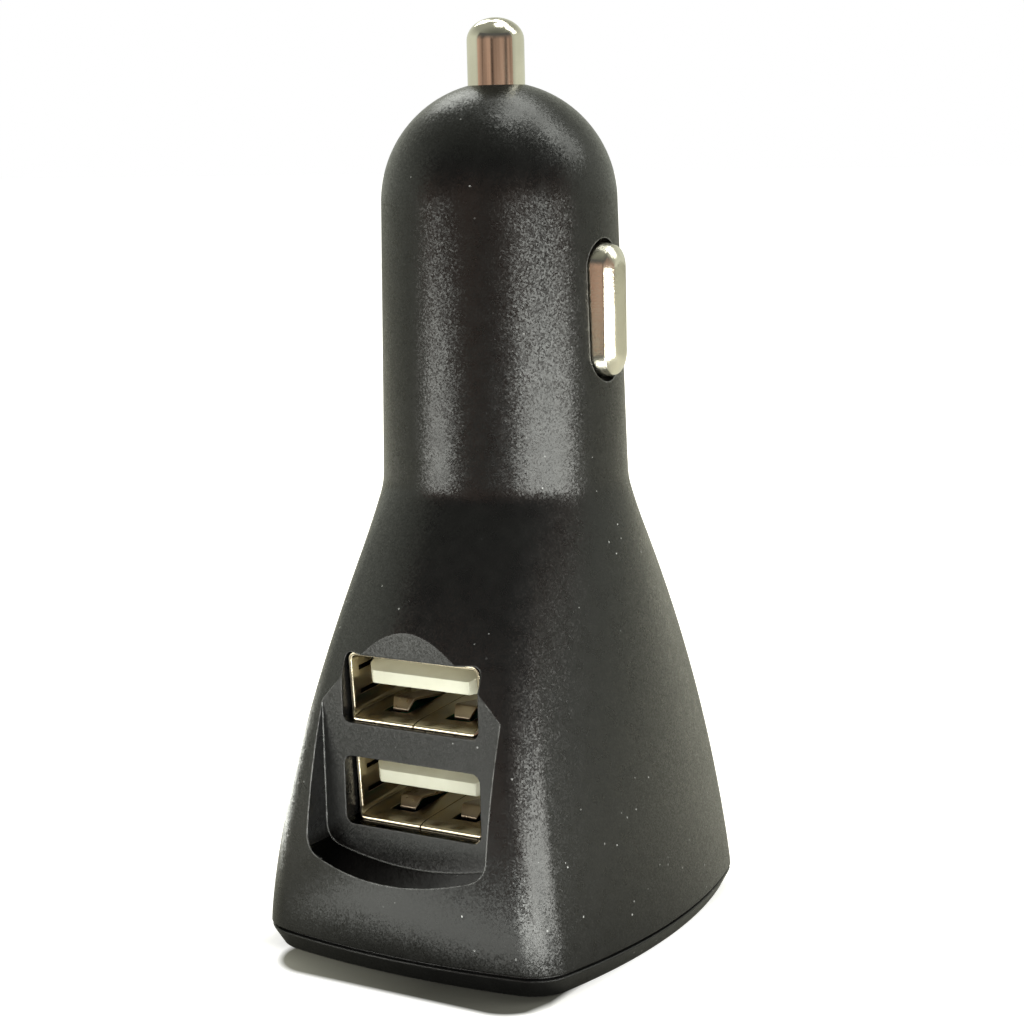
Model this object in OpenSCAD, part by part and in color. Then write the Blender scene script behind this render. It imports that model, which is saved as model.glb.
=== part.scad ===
// Car charger plug for a 12 V accessory socket, with two USB-A ports in the side of its handle.
// Sizes are in millimetres. +Z runs along the plug's axis to its nose, the ports face -Y,
// and the flat end cap rests on Z = 0, with the axis through the origin.

/* [Barrel and nose] */
// Radius of the round nose, and of the barrel where the nose begins
nose_r = 10.15; // [9.6:0.05:10.6]
// Radius of the barrel at its root, where the handle begins
root_r = 10.7; // [10.3:0.05:11.2]
// Height of the barrel's root above the foot of the cap
root_z = 39.2; // [38:0.1:42]
// Length of the barrel from its root to the centre of the round nose
barrel_length = 24.1; // [23:0.1:27]
// Wall of the nose, the barrel and the handle
wall = 1.7; // [1.4:0.05:2]

/* [Handle] */
// Width of the handle's foot, from side face to side face
base_width = 33.9; // [32:0.1:38]
// Depth of the handle's foot, from the port side to the back
base_depth = 37.4; // [35:0.1:40]
// How far the foot's centre lies from the plug's axis, towards the ports
base_offset = 1.4; // [0.8:0.1:2]
// Radius of the handle's upright corners at its foot
corner_r = 3.9; // [3:0.1:5]
// Bow of the two side faces at the foot
side_bow = 1.9; // [0.5:0.1:2.5]
// Bow of the port side and of the back at the foot
front_bow = 1; // [0.2:0.1:1.5]
// Curve of the sides from the root to the foot, where 1 is straight
side_curve = 1.15; // [1:0.05:1.6]
// Curve of the port side from the root to the foot
front_curve = 1.85; // [1.7:0.05:2.2]
// Curve of the back from the root to the foot
back_curve = 2.35; // [1.4:0.05:2.6]
// Extra fullness of the port side's middle, halfway down the handle
front_bulge = 1.5; // [1.2:0.05:1.8]

/* [End cap] */
// Height of the end cap
cap_height = 2.1; // [1.8:0.1:3]
// How far the cap's foot is drawn in from its top edge
cap_taper = 1; // [0.4:0.1:1.4]
// Width of the open seam between the cap and the handle
seam_gap = 0.3; // [0.15:0.05:0.5]
// Depth of that seam
seam_depth = 0.5; // [0.3:0.05:0.9]
// Height of the skirt that plugs into the handle
skirt_height = 3.2; // [2:0.1:4]
// Thickness of the skirt
skirt_wall = 1.2; // [0.8:0.1:1.6]
// Play between the skirt and the handle
skirt_clearance = 0.12; // [0.08:0.01:0.2]

/* [Port pocket] */
// Distance of the pocket's flat from the plug's axis
pocket_y = 16.25; // [15.8:0.05:16.8]
// Width of the pocket
pocket_width = 18; // [17:0.1:19.4]
// Height of the lowest point of the pocket's foot
pocket_foot_z = 8.3; // [7.6:0.1:9]
// Radius of the pocket's curved foot
pocket_sag_r = 29; // [24:1:60]
// Radius of the pocket's lower corners
pocket_corner_r = 1.8; // [1:0.1:3]

/* [USB ports] */
// Outer width of a port's metal shell
port_width = 13.1; // [13:0.05:13.3]
// Outer height of a port's metal shell
port_height = 5.72; // [5.6:0.02:5.9]
// Thickness of the shell's sheet
port_sheet = 0.3; // [0.25:0.05:0.4]
// Depth of a port from its mouth to the port board
port_depth = 11.2; // [10.6:0.1:11.6]
// Distance between the two ports
port_pitch = 8.85; // [8.6:0.05:9.4]
// Height of the point midway between the two mouths
ports_z = 19.1; // [18.6:0.1:19.6]
// Distance of that point from the plug's axis
ports_y = 15; // [14.8:0.05:15.3]
// Lean of the ports and their board, with the mouths turned down
port_tilt = 4; // [0:0.5:5]
// Gap round a shell in its window
window_gap = 0.25; // [0.15:0.05:0.4]
// Width of the insulating tongue
tongue_width = 11.1; // [10.8:0.1:11.3]
// Thickness of the tongue
tongue_thickness = 1.84; // [1.7:0.02:1.9]
// Gap between the tongue and the shell above it
tongue_gap = 0.72; // [0.6:0.02:0.8]
// How far the tongue's tip lies behind the mouth
tongue_setback = 0.9; // [0.5:0.1:1.5]

/* [Centre pin] */
// Radius of the centre pin
pin_r = 2.45; // [2.2:0.05:2.8]
// How far the pin's tip stands above the top of the nose
pin_reach = 5.35; // [4:0.05:6.5]
// Radial play of the pin in its hole
pin_clearance = 0.05; // [0.03:0.01:0.08]
// How far the pin travels inwards
pin_travel = 2.5; // [1.5:0.1:3]

/* [Side contacts] */
// Width of a side contact's button
contact_width = 4.55; // [4:0.05:5]
// Length of a side contact's button
contact_length = 11.6; // [10:0.1:12.4]
// Distance of a button's outer face from the plug's axis
contact_reach = 11.8; // [11.4:0.05:12.2]
// Height of the bevel round the outer face
contact_bevel = 0.6; // [0.3:0.05:0.8]
// How far the middle of the side contacts lies below the centre of the round nose
contact_drop = 9.05; // [8.7:0.05:9.4]
// Gap round a button in its slot
slot_gap = 0.23; // [0.15:0.01:0.3]
// How far a side contact travels inwards
contact_travel = 1.3; // [0.8:0.05:1.4]

/* [Circuit boards] */
// Thickness of the main board
main_board_thickness = 1.6; // [1:0.1:1.6]
// Thickness of the port board
port_board_thickness = 1.2; // [1:0.1:1.6]
// Width of the port board
port_board_width = 19; // [17:0.5:20]

/* [Hidden] */

$fn = 96;
// overlap that keeps a cut clear of the face it opens, and play between seated inner pieces
cut = 1;
play = 0.05;

nose_z = root_z + barrel_length;
barrel_bore_r = nose_r - wall;
pin_tip_z = nose_z + nose_r + pin_reach;
contact_z = nose_z - contact_drop;
handle_steps = 14;
cavity_steps = 8;
side_steps = 10;
corner_steps = 6;
main_face = main_board_thickness / 2;

// the guide tube inside the nose, in which the pin's collar and spring run
collar_r = 3.65;
collar_height = 1;
guide_bore_r = collar_r + 0.07;
guide_wall = 1.3;
guide_length = 12;
pin_shelf_z = nose_z + nose_r - wall - 0.75;
guide_foot_z = pin_shelf_z - guide_length;
seat_height = 1.5;
spring_wire_r = 0.3;
spring_coil_r = 2.7;
pin_tail_r = 2;
pin_tail_length = 2.5;

// the side contacts' flanges, behind the wall, and their springs
flange_margin = 0.8;
flange_thickness = 0.5;
seat_depth = 0.45;
seat_x = barrel_bore_r + seat_depth;
contact_sheet = 0.4;
side_wire_r = 0.25;
side_coil_r = 1.55;
flange_inner_x = seat_x - flange_thickness;

// the boards
board_half_width = barrel_bore_r - 0.55;
main_board_top_z = guide_foot_z - seat_height;
main_board_foot_z = 14;
port_board_top = 10.4;
port_board_foot = -10.8;
leg_x = port_width / 2 - port_sheet / 2;
leg_width = 1;
leg_length = 2;
hole_play = 0.15;
contact_pitch = [-3.5, -1, 1, 3.5];
strip_width = 1;
strip_thickness = 0.22;
tongue_top = port_height / 2 - port_sheet - tongue_gap;
tongue_foot = tongue_top - tongue_thickness;
block_depth = 2.8;

// the components: their sizes, and how far each lies below the main board's top edge and from its middle
inductor_r = 4.5;
inductor_flange = 1.2;
inductor_post_r = 2.1;
inductor_height = 6.8;
inductor_drop = 35.5;
inductor_y = 4.6;
winding_depth = 1.5;
input_can_r = 4;
input_can_length = 11.5;
input_can_drop = 30;
input_can_y = 4.9;
output_can_r = 3.15;
output_can_length = 8.5;
output_can_drop = 20.4;
output_can_y = 3.2;
chip_length = 4.9;
chip_width = 3.9;
chip_height = 1.4;
chip_drop = 20.5;
lead_pitch = 1.27;
lead_reach = 1.1;
lead_width = 0.4;
lead_thickness = 0.2;
diode_length = 4.2;
diode_width = 2.6;
diode_height = 2;
diode_drop = 13;
diode_y = 3.2;
fuse_length = 6;
fuse_width = 2.6;
fuse_cap = 1.1;
fuse_drop = 12.5;
fuse_y = 3.6;
ceramic_length = 2;
ceramic_width = 1.25;
ceramic_y = 3.4;
ceramic_drops = [[1, 13.5], [1, 16.5], [1, 24.5], [-1, 13]];
ceramic_front_drops = [[-1, 20.5], [-1, 23]];

// points

function turn(p, a) = [p[0] * cos(a) - p[1] * sin(a), p[0] * sin(a) + p[1] * cos(a)];
function mix(a, b, s) = a + (b - a) * s;

// Outline of a rectangle with bowed sides and round corners, counterclockwise from its right side.
function bowed_outline(half_x, half_y, r, bow_x, bow_y) = [
    for (k = [0:3])
        let (
            even = k % 2 == 0,
            bow = even ? bow_x : bow_y,
            next_bow = even ? bow_y : bow_x,
            centre = (even ? half_x : half_y) - bow - r,
            half = (even ? half_y : half_x) - next_bow - r,
            first = atan(2 * bow / half),
            last = 90 - atan(2 * next_bow / centre))
        each [
            for (i = [0:side_steps])
                let (s = 2 * i / side_steps - 1, a = atan(2 * bow * s / half))
                turn([centre + bow * (1 - s * s) + r * cos(a), half * s + r * sin(a)], 90 * k),
            for (i = [1:corner_steps - 1])
                let (a = mix(first, last, i / corner_steps))
                turn([centre + r * cos(a), half + r * sin(a)], 90 * k)]];

// How far the handle has gone from the round root (0) to its foot (1) at height z.
function flare(z, curve) = 1 - pow(1 - handle_depth(z), curve);
function handle_depth(z) = min(1, max(0, (root_z - z) / (root_z - cap_height)));
function fullness_at(z) = front_bulge * 4 * handle_depth(z) * (1 - handle_depth(z));
function handle_half_x(z) = mix(root_r, base_width / 2, flare(z, side_curve));

// Section of the handle at height z, drawn in by inset from its outer face.
function handle_ring(z, inset) =
    let (
        foot = bowed_outline(base_width / 2 - inset, base_depth / 2 - inset, max(1, corner_r - inset),
                             side_bow, front_bow),
        r = root_r - inset - 0.03,
        to_side = flare(z, side_curve),
        to_front = flare(z, front_curve),
        to_back = flare(z, back_curve))
    [for (p = foot)
        let (
            a = atan2(p[1], p[0]),
            to_end = p[1] < 0 ? to_front : to_back,
            fullness = fullness_at(z) * pow(max(0, -sin(a)), 7))
        [mix(r * cos(a), p[0], to_side), mix(r * sin(a), p[1], to_end) - base_offset * to_front - fullness, z]];

function arc(cx, cy, r, from, to, steps) =
    [for (i = [0:steps]) let (a = mix(from, to, i / steps)) [cx + r * cos(a), cy + r * sin(a)]];
function rounded_points(w, h, r, steps = 4) = concat(
    arc(w / 2 - r, h / 2 - r, r, 0, 90, steps),
    arc(r - w / 2, h / 2 - r, r, 90, 180, steps),
    arc(r - w / 2, r - h / 2, r, 180, 270, steps),
    arc(w / 2 - r, r - h / 2, r, 270, 360, steps));

// shapes

// Closed solid through a list of rings with equal numbers of points, lowest first.
module loft(rings) {
    n = len(rings[0]);
    m = len(rings);
    polyhedron(
        points = [for (ring = rings) each ring],
        faces = concat(
            [[for (i = [0:n - 1]) i]],
            [[for (i = [n - 1:-1:0]) i + (m - 1) * n]],
            [for (j = [0:m - 2], i = [0:n - 1])
                let (a = i + j * n, b = (i + 1) % n + j * n) each [[a, a + n, b + n], [a, b + n, b]]]));
}

module handle_solid(inset, low, high, steps) {
    loft([for (i = [0:steps]) handle_ring(mix(low, high, i / steps), inset)]);
}

// Coil spring of round wire that stands on z = 0, with closed end turns.
module coil_spring(coil_r, wire_r, height, turns, steps_per_turn = 16) {
    steps = round(turns * steps_per_turn);
    sides = 8;
    end = 0.75 * steps_per_turn;
    rise = height - 2 * wire_r * 2.1 - 2 * wire_r;
    function lift(i) = wire_r
        + 2.1 * wire_r * (min(i, end) + max(0, i - steps + end)) / end
        + rise * max(0, min(1, (i - end) / (steps - 2 * end)));
    points = [for (i = [0:steps], k = [0:sides - 1])
        let (a = 360 * i / steps_per_turn, b = 360 * k / sides, d = coil_r + wire_r * cos(b))
        [d * cos(a), d * sin(a), lift(i) + wire_r * sin(b)]];
    polyhedron(points = points, faces = concat(
        [[for (k = [0:sides - 1]) k]],
        [[for (k = [sides - 1:-1:0]) k + steps * sides]],
        [for (i = [0:steps - 1], k = [0:sides - 1])
            let (p = i * sides + k, q = i * sides + (k + 1) % sides)
            each [[p, p + sides, q + sides], [p, q + sides, q]]]));
}

// Upright stadium across the Y axis, pushed along +X from x.
module stadium_x(width, length, x, depth) {
    translate([x, 0, contact_z]) rotate([90, 0, 90]) linear_extrude(depth)
        polygon(rounded_points(width, length, width / 2 - 0.001, 12));
}

// The ports' own frame: origin midway between the mouths, y inwards, leaning with the port board.
module ports_frame() {
    translate([0, -ports_y, ports_z]) rotate([port_tilt, 0, 0]) children();
}
module port_frame(side) {
    ports_frame() translate([0, 0, side * port_pitch / 2]) children();
}
// Pushes an outline of x and z along +y from y.
module along_y(y, depth) {
    translate([0, y + depth, 0]) rotate([90, 0, 0]) linear_extrude(depth) children();
}

// Lower end of the pocket: upright sides that turn through round corners into a curved foot.
module pocket_outline() {
    corner_x = pocket_width / 2 - pocket_corner_r;
    centre_z = pocket_foot_z + pocket_sag_r;
    reach = pocket_sag_r - pocket_corner_r;
    corner_z = centre_z - sqrt(reach * reach - corner_x * corner_x);
    a = atan(corner_x / (centre_z - corner_z));
    polygon(concat(
        [[pocket_width / 2, root_z], [-pocket_width / 2, root_z]],
        arc(-corner_x, corner_z, pocket_corner_r, 180, 270 - a, 5),
        arc(0, centre_z, pocket_sag_r, 270 - a, 270 + a, 14),
        arc(corner_x, corner_z, pocket_corner_r, 270 + a, 360, 5)));
}

// sub-parts

module body_shell() color([0.09, 0.09, 0.09]) difference() {
    union() {
        difference() {
            union() {
                translate([0, 0, root_z]) cylinder(r1 = root_r, r2 = nose_r, h = barrel_length);
                translate([0, 0, nose_z]) sphere(r = nose_r);
                handle_solid(0, cap_height, root_z, handle_steps);
            }
            difference() {
                handle_solid(wall, cap_height - cut, root_z - wall, cavity_steps);
                pocket_backing();
            }
            translate([0, 0, root_z - 2 * wall])
                cylinder(r = barrel_bore_r, h = barrel_length + 2 * wall);
            translate([0, 0, nose_z]) sphere(r = barrel_bore_r);
        }
        guide_tube();
        board_rails();
        port_board_ribs();
    }
    translate([0, 0, pin_shelf_z - cut]) cylinder(r = pin_r + pin_clearance, h = 2 * wall + 2 * cut);
    translate([0, 0, guide_foot_z - cut]) cylinder(r = guide_bore_r, h = guide_length + cut);
    for (side = [0, 1]) mirror([side, 0, 0]) contact_opening();
    along_y(-pocket_y - 10, 10) pocket_outline();
    for (side = [-1, 1]) port_frame(side) along_y(-3, 3 + wall + cut)
        polygon(rounded_points(port_width + 2 * window_gap, port_height + 2 * window_gap, 0.8));
}

// Block that keeps the wall behind the pocket's flat as thick as the rest.
module pocket_backing() {
    translate([-pocket_width / 2 - wall, -base_depth, pocket_foot_z - wall])
        cube([pocket_width + 2 * wall, base_depth - pocket_y + wall, root_z - pocket_foot_z]);
}

module guide_tube() {
    translate([0, 0, guide_foot_z]) cylinder(r = guide_bore_r + guide_wall, h = guide_length + 0.5);
}

// Pairs of rails that hold the main board's two upright edges.
module board_rails() {
    for (side = [-1, 1], face = [-1, 1])
        translate([face > 0 ? main_face + play : -main_face - play - 1.2,
                   side > 0 ? board_half_width - 1 : -barrel_bore_r - 0.4, root_z + 2])
            cube([1.2, barrel_bore_r + 1.4 - board_half_width, barrel_length - 6]);
}

// Upright ribs on the side walls, behind the port board.
module port_board_ribs() {
    low = -8;
    high = 7;
    back = port_depth + port_board_thickness + play;
    inner = port_board_width / 2 - 1;
    ports_frame() for (side = [0, 1]) mirror([side, 0, 0]) along_y(back, 1.4)
        polygon(concat([[inner, low]],
            [for (i = [0:5]) let (z = mix(low, high, i / 5)) [handle_half_x(ports_z + z) - wall / 2, z]],
            [[inner, high]]));
}

// Slot for a side contact's button, with the flat seat for its flange inside the wall.
module contact_opening() {
    stadium_x(contact_width + 2 * slot_gap, contact_length + 2 * slot_gap, seat_x - cut, 5);
    flat = contact_width + 2 * flange_margin + 0.3;
    long = contact_length + 2 * flange_margin + 0.3;
    translate([barrel_bore_r - 2, -flat / 2, contact_z - long / 2]) cube([2 + seat_depth, flat, long]);
}

module end_cap() color([0.08, 0.08, 0.08]) difference() {
    union() {
        loft([for (i = [0, 1]) [for (p = handle_ring(cap_height, cap_taper * (1 - i)))
            [p[0], p[1], i * (cap_height - seam_gap)]]]);
        loft([for (z = [cap_height / 2, cap_height]) [for (p = handle_ring(cap_height, seam_depth))
            [p[0], p[1], z]]]);
        handle_solid(wall + skirt_clearance, cap_height, cap_height + skirt_height, 2);
        for (side = [-1, 1]) translate([side * (port_board_width / 2 - 3) - 1.5, -6.5, cap_height])
            cube([3, 8, skirt_height]);
    }
    handle_solid(wall + skirt_clearance + skirt_wall, cap_height, cap_height + skirt_height + cut, 2);
}

module center_pin() color([0.78, 0.76, 0.72]) {
    tip_r = pin_r * 1.02;
    shaft_top = pin_tip_z - pin_r * 0.72;
    translate([0, 0, pin_shelf_z - collar_height / 2])
        cylinder(r = pin_r, h = shaft_top - pin_shelf_z + collar_height / 2);
    intersection() {
        translate([0, 0, shaft_top]) cylinder(r = pin_r, h = pin_tip_z - shaft_top);
        translate([0, 0, pin_tip_z - tip_r]) sphere(r = tip_r);
    }
    translate([0, 0, pin_shelf_z - collar_height]) cylinder(r = collar_r, h = collar_height);
    translate([0, 0, pin_shelf_z - collar_height - pin_tail_length])
        cylinder(r = pin_tail_r, h = pin_tail_length);
}

module pin_spring() color([0.6, 0.6, 0.58]) {
    height = pin_shelf_z - collar_height - guide_foot_z - 2 * play;
    translate([0, 0, guide_foot_z + play]) coil_spring(spring_coil_r, spring_wire_r, height, 6.5, 18);
}

// Brass cup that closes the guide tube, under the spring and on the main board's top edge.
module pin_seat() color([0.75, 0.6, 0.3]) {
    translate([0, 0, guide_foot_z - seat_height])
        cylinder(r = guide_bore_r + guide_wall, h = seat_height);
    translate([0, 0, guide_foot_z - cut / 2]) difference() {
        cylinder(r = guide_bore_r - 0.03, h = cut / 2 + 0.8);
        translate([0, 0, cut / 2]) cylinder(r = guide_bore_r - 0.4, h = cut);
    }
}

module side_contact() color([0.8, 0.78, 0.74]) {
    button_x = contact_reach - contact_bevel;
    flat_width = contact_width - 2 * 1.35;
    flat_length = contact_length - 2 * 1.25;
    hull() {
        stadium_x(contact_width, contact_length, button_x - 0.1, 0.1);
        stadium_x(flat_width, flat_length, contact_reach - 0.05, 0.05);
    }
    difference() {
        stadium_x(contact_width, contact_length, flange_inner_x, button_x - flange_inner_x);
        stadium_x(contact_width - 2 * contact_sheet, contact_length - 2 * contact_sheet,
                  flange_inner_x - cut, button_x - flange_inner_x + cut - contact_sheet);
    }
    difference() {
        stadium_x(contact_width + 2 * flange_margin, contact_length + 2 * flange_margin,
                  flange_inner_x, flange_thickness);
        stadium_x(contact_width - contact_sheet, contact_length - contact_sheet,
                  flange_inner_x - cut, flange_thickness + 2 * cut);
    }
}
module side_contact_right() { side_contact(); }
module side_contact_left() { mirror([1, 0, 0]) side_contact(); }

module side_spring() color([0.6, 0.6, 0.58]) {
    head_x = contact_reach - contact_bevel - contact_sheet;
    translate([main_face + play, 0, contact_z]) rotate([0, 90, 0])
        coil_spring(side_coil_r, side_wire_r, head_x - main_face - 2 * play, 5);
}
module side_spring_right() { side_spring(); }
module side_spring_left() { mirror([1, 0, 0]) side_spring(); }

// Folded steel shell of one port: open box with spring fingers in its floor and slits in its sides.
module usb_shell() color([0.78, 0.74, 0.66]) {
    difference() {
        along_y(0, port_depth) polygon(rounded_points(port_width, port_height, 0.75));
        along_y(-cut, port_depth + 2 * cut)
            polygon(rounded_points(port_width - 2 * port_sheet, port_height - 2 * port_sheet, 0.45));
        for (side = [-1, 1]) translate([side * 3.1 - 1.25, 1.4, -port_height])
            cube([2.5, 7, port_height]);
        for (side = [-1, 1], z = [-0.95, 1.15]) translate([side * port_width / 2 - 1, 1, z - 0.2])
            cube([2, 7, 0.4]);
        translate([-0.06, -cut, -port_height]) cube([0.12, port_depth + 2 * cut, port_height]);
    }
    for (side = [-1, 1]) translate([side * 3.1, 0, 0]) floor_finger();
    for (side = [-1, 1], z = [-1.6, 1.6])
        translate([side * leg_x - port_sheet / 2, port_depth - cut / 2, z - leg_width / 2])
            cube([port_sheet, leg_length + cut / 2, leg_width]);
    translate([-2, port_depth - 1.5, -port_height / 2]) cube([4, 1, port_sheet]);
}

// Finger that rises from the floor's back edge towards the mouth and dips again at its tip.
module floor_finger() {
    floor_z = -port_height / 2;
    t = port_sheet;
    rotate([90, 0, 90]) translate([0, 0, -0.85]) linear_extrude(1.7) polygon([
        [8.6, floor_z], [8, floor_z], [3.4, floor_z + 0.85], [2.5, floor_z + 0.85], [1.7, floor_z + 0.35],
        [1.7, floor_z + 0.35 + t], [2.4, floor_z + 0.85 + t], [3.5, floor_z + 0.85 + t],
        [8.1, floor_z + t], [8.6, floor_z + t]]);
}
module usb_shell_upper() { port_frame(1) usb_shell(); }
module usb_shell_lower() { port_frame(-1) usb_shell(); }

// Insulator of one port: the tongue with its bevelled tip, on a block that closes the shell's back.
module usb_insulator() color([0.88, 0.87, 0.82]) difference() {
    union() {
        intersection() {
            rotate([90, 0, 90]) translate([0, 0, -tongue_width / 2]) linear_extrude(tongue_width) polygon([
                [tongue_setback, tongue_foot + 0.15], [tongue_setback + 0.2, tongue_foot],
                [port_depth - 1, tongue_foot], [port_depth - 1, tongue_top],
                [tongue_setback + 1.6, tongue_top], [tongue_setback, tongue_top - 0.6]]);
            translate([0, 0, tongue_foot - cut]) linear_extrude(tongue_thickness + 2 * cut) polygon([
                [-tongue_width / 2 + 0.7, tongue_setback], [tongue_width / 2 - 0.7, tongue_setback],
                [tongue_width / 2, tongue_setback + 0.9], [tongue_width / 2, port_depth],
                [-tongue_width / 2, port_depth], [-tongue_width / 2, tongue_setback + 0.9]]);
        }
        along_y(port_depth - block_depth, block_depth - play) polygon(rounded_points(
            port_width - 2 * port_sheet - 0.1, port_height - 2 * port_sheet - 0.1, 0.4));
    }
    for (x = contact_pitch)
        translate([x - strip_width / 2 - play, -cut, tongue_foot - 0.05])
            cube([strip_width + 2 * play, port_depth + 2 * cut, strip_thickness + 0.1]);
}
module usb_insulator_upper() { port_frame(1) usb_insulator(); }
module usb_insulator_lower() { port_frame(-1) usb_insulator(); }

// The four contact strips of one port, flush in the tongue's underside, with pins through the board.
module usb_contacts() color([0.85, 0.7, 0.4]) for (x = contact_pitch) {
    translate([x - strip_width / 2, tongue_setback + 0.7, tongue_foot])
        cube([strip_width, port_depth - tongue_setback - 0.7, strip_thickness]);
    translate([x - strip_width / 4, port_depth - cut, tongue_foot])
        cube([strip_width / 2, leg_length + cut, strip_thickness]);
}
module usb_contacts_upper() { port_frame(1) usb_contacts(); }
module usb_contacts_lower() { port_frame(-1) usb_contacts(); }

// Board that the two ports are soldered to, with holes for their legs and pins.
module port_board() color([0.1, 0.35, 0.2]) difference() {
    ports_frame() along_y(port_depth + play, port_board_thickness)
        translate([-port_board_width / 2, port_board_foot])
            square([port_board_width, port_board_top - port_board_foot]);
    for (port = [-1, 1]) port_frame(port) {
        for (side = [-1, 1], z = [-1.6, 1.6])
            translate([side * leg_x - port_sheet / 2 - hole_play, port_depth - cut,
                       z - leg_width / 2 - hole_play])
                cube([port_sheet + 2 * hole_play, 2 * cut + port_board_thickness,
                      leg_width + 2 * hole_play]);
        for (x = contact_pitch)
            translate([x, port_depth - cut, tongue_foot + strip_thickness / 2]) rotate([-90, 0, 0])
                cylinder(r = 0.45, h = 2 * cut + port_board_thickness, $fn = 24);
    }
}

// Power board, upright in the barrel, with its lower front edge on the back of the port board.
module main_board() color([0.1, 0.35, 0.2]) difference() {
    rotate([90, 0, 90]) translate([0, 0, -main_face]) linear_extrude(main_board_thickness) polygon([
        [-board_half_width, root_z - 8], [-board_half_width, main_board_top_z],
        [board_half_width, main_board_top_z], [board_half_width, root_z - 3],
        [board_half_width + 1.6, root_z - 5], [board_half_width + 1.6, main_board_foot_z],
        [-board_half_width + 2, main_board_foot_z], [-board_half_width + 2, root_z - 8]]);
    ports_frame() translate([-cut * 2, -10, port_board_foot - 20])
        cube([cut * 4, 10 + port_depth + port_board_thickness + 2 * play,
              port_board_top - port_board_foot + 21]);
}

// Places a component on the board's right face (side 1) or its left face (side -1), its middle at y
// and below the board's top edge by drop.
module on_board(side, y, drop) {
    translate([side * (main_face + play / 2), y, main_board_top_z - drop]) rotate([0, side * 90, 0]) children();
}

module inductor_core() color([0.2, 0.2, 0.21]) on_board(1, inductor_y, inductor_drop) {
    cylinder(r = inductor_r, h = inductor_flange);
    cylinder(r = inductor_post_r, h = inductor_height);
    translate([0, 0, inductor_height - inductor_flange]) cylinder(r = inductor_r, h = inductor_flange);
}

// Copper winding as one sleeve, its outer turns showing as ridges.
module inductor_winding() color([0.72, 0.4, 0.2]) on_board(1, inductor_y, inductor_drop) {
    turns = 6;
    pitch = (inductor_height - 2 * inductor_flange - 2 * play) / turns;
    edge = inductor_post_r + play + winding_depth;
    translate([0, 0, inductor_flange + play]) rotate_extrude() {
        translate([inductor_post_r + play, 0]) square([winding_depth, turns * pitch]);
        for (i = [0:turns - 1]) translate([edge - pitch / 8, (i + 0.5) * pitch]) circle(r = pitch / 2 - 0.01, $fn = 32);
    }
}

// Electrolytic capacitor lying along the board, its foot below the board's top edge by drop.
module capacitor(r, length, y, drop) {
    translate([-main_face - play / 2 - r, y, main_board_top_z - drop - length]) cylinder(r = r, h = length);
}
module input_capacitor() color([0.12, 0.12, 0.2])
    capacitor(input_can_r, input_can_length, input_can_y, input_can_drop);
module output_capacitor() color([0.12, 0.12, 0.2])
    capacitor(output_can_r, output_can_length, output_can_y, output_can_drop);

module converter_chip() color([0.15, 0.15, 0.16]) on_board(1, 0, chip_drop) {
    translate([-chip_length / 2, -chip_width / 2, lead_thickness - play]) cube([chip_length, chip_width, chip_height]);
    for (side = [0, 1], i = [-1.5:1:1.5]) mirror([0, side, 0])
        translate([i * lead_pitch - lead_width / 2, chip_width / 2 - play, 0]) {
            cube([lead_width, lead_reach, lead_thickness]);
            cube([lead_width, lead_reach / 2, chip_height / 2]);
        }
}

module diode() color([0.16, 0.16, 0.16]) on_board(1, -diode_y, diode_drop) {
    translate([-diode_length / 2, -diode_width / 2, play]) cube([diode_length, diode_width, diode_height]);
    for (side = [0, 1]) mirror([side, 0, 0]) translate([diode_length / 2 - play, -diode_width * 0.3, 0])
        cube([lead_width, diode_width * 0.6, diode_height / 2]);
}

module board_fuse() color([0.85, 0.83, 0.78]) on_board(-1, -fuse_y, fuse_drop) {
    translate([-fuse_length / 2, -fuse_width / 2, play]) cube([fuse_length, fuse_width, fuse_width]);
    for (side = [0, 1]) mirror([side, 0, 0])
        translate([fuse_length / 2 - fuse_cap + play, -fuse_width / 2 - play, 0])
            cube([fuse_cap, fuse_width + 2 * play, fuse_width + 2 * play]);
}

module chip_capacitors() color([0.7, 0.6, 0.45]) {
    for (place = ceramic_drops) on_board(place[0], ceramic_y, place[1]) ceramic_chip();
    for (place = ceramic_front_drops) on_board(place[0], -ceramic_y, place[1]) ceramic_chip();
}
module ceramic_chip() {
    translate([-ceramic_length / 2, -ceramic_width / 2, 0]) cube([ceramic_length, ceramic_width, ceramic_width]);
}

body_shell();
end_cap();
center_pin();
pin_spring();
pin_seat();
side_contact_right();
side_contact_left();
side_spring_right();
side_spring_left();
usb_shell_upper();
usb_shell_lower();
usb_insulator_upper();
usb_insulator_lower();
usb_contacts_upper();
usb_contacts_lower();
port_board();
main_board();
inductor_core();
inductor_winding();
input_capacitor();
output_capacitor();
converter_chip();
diode();
board_fuse();
chip_capacitors();
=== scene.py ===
# %% [markdown]
# A car charger plug stands on its flat end cap: a black moulded handle with two USB ports in a
# pocket, a round barrel with a sprung contact on each side, and a sprung pin in the domed nose.
# The CAD model fixes every size and place. It is loaded first and never moved. Pieces that need
# more detail than the CAD shows are built again in the same place, and stand for its solids.

# %% Load the fixed frame
import math

import bmesh
import bpy
from mathutils import Matrix, Vector


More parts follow.
